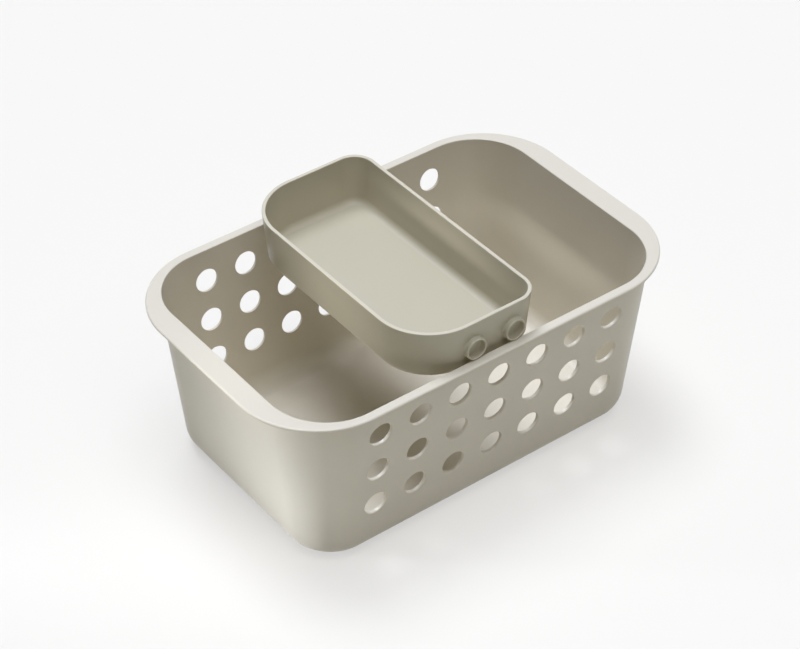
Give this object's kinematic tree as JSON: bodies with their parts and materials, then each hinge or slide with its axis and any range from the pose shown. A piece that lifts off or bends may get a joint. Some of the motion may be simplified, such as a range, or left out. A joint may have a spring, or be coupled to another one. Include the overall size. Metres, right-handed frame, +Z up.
{
  "type": "storage basket",
  "caption": "Open rectangular plastic storage basket with flared end handles, round holes in its long walls and a lift-off tray that rests by pegs across its rims.",
  "frame": {"origin": "middle of the basket's flat underside, at the bottom centre of the whole object", "axes": "+X along the basket's length, towards the end away from the tray; +Y across its width; +Z up"},
  "size_m": [0.3, 0.193, 0.1452],
  "materials": {
    "basket_plastic": "fine satin moulded polypropylene, warm light grey",
    "tray_plastic": "fine satin moulded polypropylene, darker khaki grey"
  },
  "bodies": {
    "basket": {"basket": "basket_plastic"},
    "tray": {"tray": "tray_plastic"}
  },
  "joints": [
    {"name": "tray_lift", "type": "slide", "parent": "basket", "child": "tray", "axis": [0, 0, 1], "range_m": [0, 0.1]}
  ]
}
